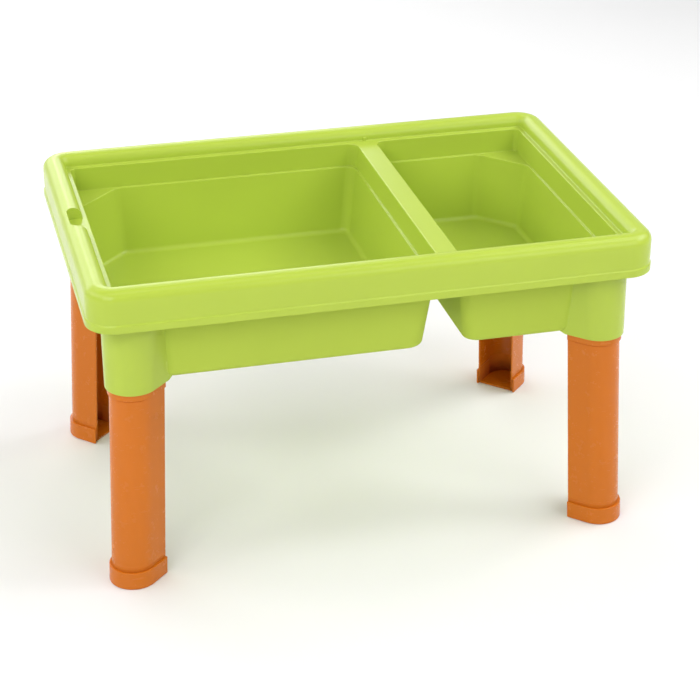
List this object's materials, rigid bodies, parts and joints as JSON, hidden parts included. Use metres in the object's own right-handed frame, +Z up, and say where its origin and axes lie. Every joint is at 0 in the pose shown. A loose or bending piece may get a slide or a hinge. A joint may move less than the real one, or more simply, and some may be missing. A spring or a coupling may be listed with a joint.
{
  "type": "sand and water table",
  "caption": "Child's sand and water table: a moulded tray with a large and a small basin, on push-fit splayed legs with foot shoes.",
  "frame": {"origin": "on the floor, under the middle of the table's bounding box", "axes": "+X along the table's long side towards the small basin, +Y towards the back, +Z up"},
  "size_m": [0.68, 0.456, 0.399],
  "materials": {
    "tray_plastic": "satin moulded, yellow-green",
    "leg_plastic": "satin moulded, orange"
  },
  "bodies": {
    "table_top": {"tray": "tray_plastic"},
    "leg_front_left": {"leg_front_left": "leg_plastic", "foot_front_left": "leg_plastic"},
    "leg_front_right": {"leg_front_right": "leg_plastic", "foot_front_right": "leg_plastic"},
    "leg_rear_left": {"leg_rear_left": "leg_plastic", "foot_rear_left": "leg_plastic"},
    "leg_rear_right": {"leg_rear_right": "leg_plastic", "foot_rear_right": "leg_plastic"}
  },
  "joints": [
    {"name": "pull_leg_front_left", "type": "slide", "parent": "table_top", "child": "leg_front_left", "axis": [-0.0432, -0.0432, -0.9981], "range_m": [0, 0.085]},
    {"name": "pull_leg_front_right", "type": "slide", "parent": "table_top", "child": "leg_front_right", "axis": [0.0432, -0.0432, -0.9981], "range_m": [0, 0.085]},
    {"name": "pull_leg_rear_left", "type": "slide", "parent": "table_top", "child": "leg_rear_left", "axis": [-0.0432, 0.0432, -0.9981], "range_m": [0, 0.085]},
    {"name": "pull_leg_rear_right", "type": "slide", "parent": "table_top", "child": "leg_rear_right", "axis": [0.0432, 0.0432, -0.9981], "range_m": [0, 0.085]}
  ]
}
